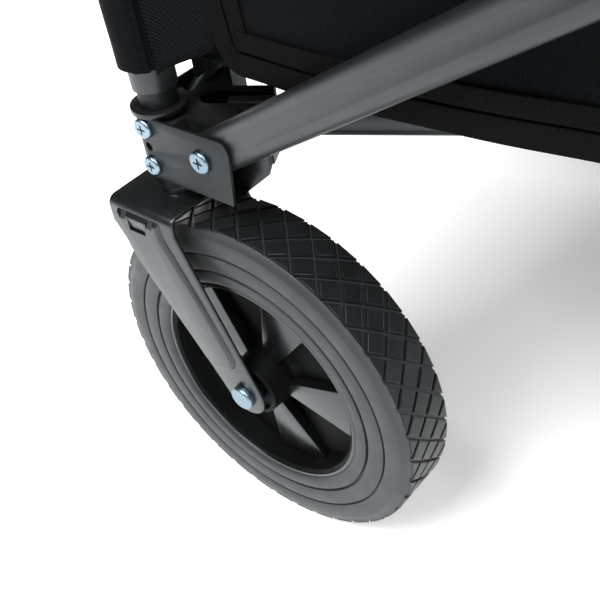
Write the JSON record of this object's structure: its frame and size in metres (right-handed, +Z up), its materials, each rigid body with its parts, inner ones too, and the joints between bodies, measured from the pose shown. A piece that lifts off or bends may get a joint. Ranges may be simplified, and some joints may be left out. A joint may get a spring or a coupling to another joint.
{
  "type": "folding wagon with pull handle",
  "caption": "Folding wagon: fabric tub on crossing scissor tubes, corner posts and floor arms, fork-held wheels, telescoping pull handle.",
  "frame": {"origin": "on the ground under the middle of the wagon's bounding box", "axes": "+Z up; the pull handle is at the -X end and the wheels trail towards +X; Y runs across the wagon"},
  "size_m": [1.055, 0.517, 0.8016],
  "materials": {
    "frame_metal": "satin charcoal powder coat",
    "zinc": "bright zinc plate",
    "black_plastic": "moulded, matte",
    "tyre": "matte foam rubber",
    "rim": "gloss moulded",
    "tub_fabric": "coated plain-weave polyester",
    "webbing": "woven strap",
    "grip_plastic": "soft-touch moulded"
  },
  "bodies": {
    "corner_fl": {"lower_post_fl": "frame_metal", "lower_connector_fl": "black_plastic", "bracket_fl": "frame_metal", "bracket_screws_fl": "zinc"},
    "caster_fl": {"fork_fl": "frame_metal", "axle_fl": "zinc"},
    "wheel_fl": {"tyre_fl": "tyre", "rim_fl": "rim"},
    "upper_fl": {"upper_corner_fl": "frame_metal", "fabric_tub": "tub_fabric"},
    "arm_fl": {"floor_arm_fl": "frame_metal"},
    "corner_fr": {"lower_post_fr": "frame_metal", "lower_connector_fr": "black_plastic", "bracket_fr": "frame_metal", "bracket_screws_fr": "zinc"},
    "caster_fr": {"fork_fr": "frame_metal", "axle_fr": "zinc"},
    "wheel_fr": {"tyre_fr": "tyre", "rim_fr": "rim"},
    "upper_fr": {"upper_corner_fr": "frame_metal"},
    "arm_fr": {"floor_arm_fr": "frame_metal"},
    "corner_rl": {"lower_post_rl": "frame_metal", "lower_connector_rl": "black_plastic", "bracket_rl": "frame_metal", "bracket_screws_rl": "zinc", "fork_rl": "frame_metal", "axle_rl": "zinc"},
    "wheel_rl": {"tyre_rl": "tyre", "rim_rl": "rim"},
    "upper_rl": {"upper_corner_rl": "frame_metal"},
    "arm_rl": {"floor_arm_rl": "frame_metal"},
    "corner_rr": {"lower_post_rr": "frame_metal", "lower_connector_rr": "black_plastic", "bracket_rr": "frame_metal", "bracket_screws_rr": "zinc", "fork_rr": "frame_metal", "axle_rr": "zinc"},
    "wheel_rr": {"tyre_rr": "tyre", "rim_rr": "rim"},
    "upper_rr": {"upper_corner_rr": "frame_metal"},
    "arm_rr": {"floor_arm_rr": "frame_metal"},
    "left_a": {"side_tube_left_a": "frame_metal"},
    "left_b": {"side_tube_left_b": "frame_metal"},
    "left_c": {"side_tube_left_c": "frame_metal"},
    "left_d": {"side_tube_left_d": "frame_metal"},
    "right_a": {"side_tube_right_a": "frame_metal"},
    "right_b": {"side_tube_right_b": "frame_metal"},
    "right_c": {"side_tube_right_c": "frame_metal"},
    "right_d": {"side_tube_right_d": "frame_metal"},
    "front_outer": {"front_tube_outer": "frame_metal"},
    "front_inner": {"front_tube_inner": "frame_metal"},
    "rear_outer": {"rear_tube_outer": "frame_metal"},
    "rear_inner": {"rear_tube_inner": "frame_metal"},
    "hub": {"floor_hub": "black_plastic", "lift_strap": "webbing"},
    "handle_base": {"handle_bracket": "frame_metal"},
    "handle_arm": {"handle_tube": "frame_metal"},
    "handle_end": {"handle_slider": "frame_metal", "handle_grip": "grip_plastic"}
  },
  "joints": [
    {"name": "frame_fold", "type": "hinge", "parent": "corner_fl", "child": "left_a", "pos_m": [-0.436, -0.2325, 0.24], "axis": [0, -1, 0], "range_deg": [0, 48], "deforming": ["fabric_tub"]},
    {"name": "left_front_cross", "type": "hinge", "parent": "left_a", "child": "left_b", "pos_m": [-0.241, -0.227, 0.3595], "axis": [0, -1, 0], "range_deg": [-96.01, 0]},
    {"name": "left_top_middle", "type": "hinge", "parent": "left_a", "child": "left_c", "pos_m": [-0.046, -0.227, 0.47899], "axis": [0, -1, 0], "range_deg": [-96.01, 0]},
    {"name": "left_bottom_middle", "type": "hinge", "parent": "left_b", "child": "left_d", "pos_m": [-0.046, -0.227, 0.24], "axis": [0, -1, 0], "range_deg": [0, 96.01]},
    {"name": "upper_front_left", "type": "hinge", "parent": "left_b", "child": "upper_fl", "pos_m": [-0.436, -0.2205, 0.47899], "axis": [0, -1, 0], "range_deg": [0, 48.01]},
    {"name": "lower_rear_left", "type": "hinge", "parent": "left_c", "child": "corner_rl", "pos_m": [0.344, -0.2205, 0.24], "axis": [0, -1, 0], "range_deg": [0, 48.01]},
    {"name": "upper_rear_left", "type": "hinge", "parent": "left_d", "child": "upper_rl", "pos_m": [0.344, -0.2325, 0.47899], "axis": [0, -1, 0], "range_deg": [-48.01, 0]},
    {"name": "front_lower_left", "type": "hinge", "parent": "corner_fl", "child": "front_outer", "pos_m": [-0.4775, -0.195, 0.24], "axis": [1, 0, 0], "range_deg": [0, 48.01]},
    {"name": "front_cross", "type": "hinge", "parent": "front_outer", "child": "front_inner", "pos_m": [-0.472, 0, 0.3595], "axis": [1, 0, 0], "range_deg": [-96.01, 0]},
    {"name": "upper_front_right", "type": "hinge", "parent": "front_outer", "child": "upper_fr", "pos_m": [-0.4775, 0.195, 0.47899], "axis": [1, 0, 0], "range_deg": [-48.01, 0]},
    {"name": "lower_front_right", "type": "hinge", "parent": "front_inner", "child": "corner_fr", "pos_m": [-0.4655, 0.195, 0.24], "axis": [1, 0, 0], "range_deg": [0, 48.01]},
    {"name": "handle_base_level", "type": "hinge", "parent": "front_outer", "child": "handle_base", "pos_m": [-0.472, 0, 0.3595], "axis": [1, 0, 0], "range_deg": [-48.01, 0]},
    {"name": "right_lower_front", "type": "hinge", "parent": "corner_fr", "child": "right_c", "pos_m": [-0.436, 0.2205, 0.24], "axis": [0, -1, 0], "range_deg": [0, 48.01]},
    {"name": "right_front_cross", "type": "hinge", "parent": "right_c", "child": "right_d", "pos_m": [-0.241, 0.227, 0.3595], "axis": [0, -1, 0], "range_deg": [-96.01, 0]},
    {"name": "right_top_middle", "type": "hinge", "parent": "right_c", "child": "right_a", "pos_m": [-0.046, 0.227, 0.47899], "axis": [0, -1, 0], "range_deg": [-96.01, 0]},
    {"name": "right_bottom_middle", "type": "hinge", "parent": "right_d", "child": "right_b", "pos_m": [-0.046, 0.227, 0.24], "axis": [0, -1, 0], "range_deg": [0, 96.01]},
    {"name": "rear_lower_left", "type": "hinge", "parent": "corner_rl", "child": "rear_inner", "pos_m": [0.3735, -0.195, 0.24], "axis": [1, 0, 0], "range_deg": [0, 48.01]},
    {"name": "rear_cross", "type": "hinge", "parent": "rear_inner", "child": "rear_outer", "pos_m": [0.38, 0, 0.3595], "axis": [1, 0, 0], "range_deg": [-96.01, 0]},
    {"name": "lower_rear_right", "type": "hinge", "parent": "rear_outer", "child": "corner_rr", "pos_m": [0.3855, 0.195, 0.24], "axis": [1, 0, 0], "range_deg": [0, 48.01]},
    {"name": "upper_rear_right", "type": "hinge", "parent": "rear_inner", "child": "upper_rr", "pos_m": [0.3735, 0.195, 0.47899], "axis": [1, 0, 0], "range_deg": [-48.01, 0]},
    {"name": "floor_arm_fl", "type": "hinge", "parent": "corner_fl", "child": "arm_fl", "pos_m": [-0.44, -0.197, 0.2413], "axis": [0.4472, -0.8944, 0], "range_deg": [0, 87.97]},
    {"name": "hub_level", "type": "hinge", "parent": "arm_fl", "child": "hub", "pos_m": [-0.12203, -0.03801, 0.2413], "axis": [0.4472, -0.8944, 0], "range_deg": [-87.97, 0]},
    {"name": "floor_arm_fr", "type": "hinge", "parent": "corner_fr", "child": "arm_fr", "pos_m": [-0.44, 0.197, 0.2413], "axis": [-0.4472, -0.8944, 0], "range_deg": [0, 87.97]},
    {"name": "floor_arm_rl", "type": "hinge", "parent": "corner_rl", "child": "arm_rl", "pos_m": [0.348, -0.197, 0.2413], "axis": [0.4472, 0.8944, 0], "range_deg": [0, 87.97]},
    {"name": "floor_arm_rr", "type": "hinge", "parent": "corner_rr", "child": "arm_rr", "pos_m": [0.348, 0.197, 0.2413], "axis": [-0.4472, 0.8944, 0], "range_deg": [0, 87.97]},
    {"name": "swivel_fl", "type": "hinge", "parent": "corner_fl", "child": "caster_fl", "pos_m": [-0.472, -0.227, 0.2085], "axis": [0, 0, 1], "continuous": true},
    {"name": "wheel_spin_fl", "type": "hinge", "parent": "caster_fl", "child": "wheel_fl", "pos_m": [-0.426, -0.227, 0.1015], "axis": [0, 1, 0], "continuous": true},
    {"name": "swivel_fr", "type": "hinge", "parent": "corner_fr", "child": "caster_fr", "pos_m": [-0.472, 0.227, 0.2085], "axis": [0, 0, -1], "continuous": true},
    {"name": "wheel_spin_fr", "type": "hinge", "parent": "caster_fr", "child": "wheel_fr", "pos_m": [-0.426, 0.227, 0.1015], "axis": [0, 1, 0], "continuous": true},
    {"name": "wheel_spin_rl", "type": "hinge", "parent": "corner_rl", "child": "wheel_rl", "pos_m": [0.426, -0.227, 0.1015], "axis": [0, 1, 0], "continuous": true},
    {"name": "wheel_spin_rr", "type": "hinge", "parent": "corner_rr", "child": "wheel_rr", "pos_m": [0.426, 0.227, 0.1015], "axis": [0, 1, 0], "continuous": true},
    {"name": "handle_swing", "type": "hinge", "parent": "handle_base", "child": "handle_arm", "pos_m": [-0.506, 0, 0.3595], "axis": [0, -1, 0], "range_deg": [0, 110]},
    {"name": "handle_extend", "type": "slide", "parent": "handle_arm", "child": "handle_end", "axis": [0.0523, 0, 0.9986], "range_m": [0, 0.24]}
  ],
  "couplings": [
    {"joint": "left_front_cross", "follows": "frame_fold", "ratio": -2},
    {"joint": "left_top_middle", "follows": "frame_fold", "ratio": -2},
    {"joint": "left_bottom_middle", "follows": "frame_fold", "ratio": 2},
    {"joint": "upper_front_left", "follows": "frame_fold", "ratio": 1},
    {"joint": "lower_rear_left", "follows": "frame_fold", "ratio": 1},
    {"joint": "upper_rear_left", "follows": "frame_fold", "ratio": -1},
    {"joint": "front_lower_left", "follows": "frame_fold", "ratio": 1},
    {"joint": "front_cross", "follows": "frame_fold", "ratio": -2},
    {"joint": "upper_front_right", "follows": "frame_fold", "ratio": -1},
    {"joint": "lower_front_right", "follows": "frame_fold", "ratio": 1},
    {"joint": "handle_base_level", "follows": "frame_fold", "ratio": -1},
    {"joint": "right_lower_front", "follows": "frame_fold", "ratio": 1},
    {"joint": "right_front_cross", "follows": "frame_fold", "ratio": -2},
    {"joint": "right_top_middle", "follows": "frame_fold", "ratio": -2},
    {"joint": "right_bottom_middle", "follows": "frame_fold", "ratio": 2},
    {"joint": "rear_lower_left", "follows": "frame_fold", "ratio": 1},
    {"joint": "rear_cross", "follows": "frame_fold", "ratio": -2},
    {"joint": "lower_rear_right", "follows": "frame_fold", "ratio": 1},
    {"joint": "upper_rear_right", "follows": "frame_fold", "ratio": -1},
    {"joint": "floor_arm_fl", "follows": "frame_fold", "ratio": 1.8325},
    {"joint": "hub_level", "follows": "frame_fold", "ratio": -1.8325},
    {"joint": "floor_arm_fr", "follows": "frame_fold", "ratio": 1.8325},
    {"joint": "floor_arm_rl", "follows": "frame_fold", "ratio": 1.8325},
    {"joint": "floor_arm_rr", "follows": "frame_fold", "ratio": 1.8325}
  ]
}
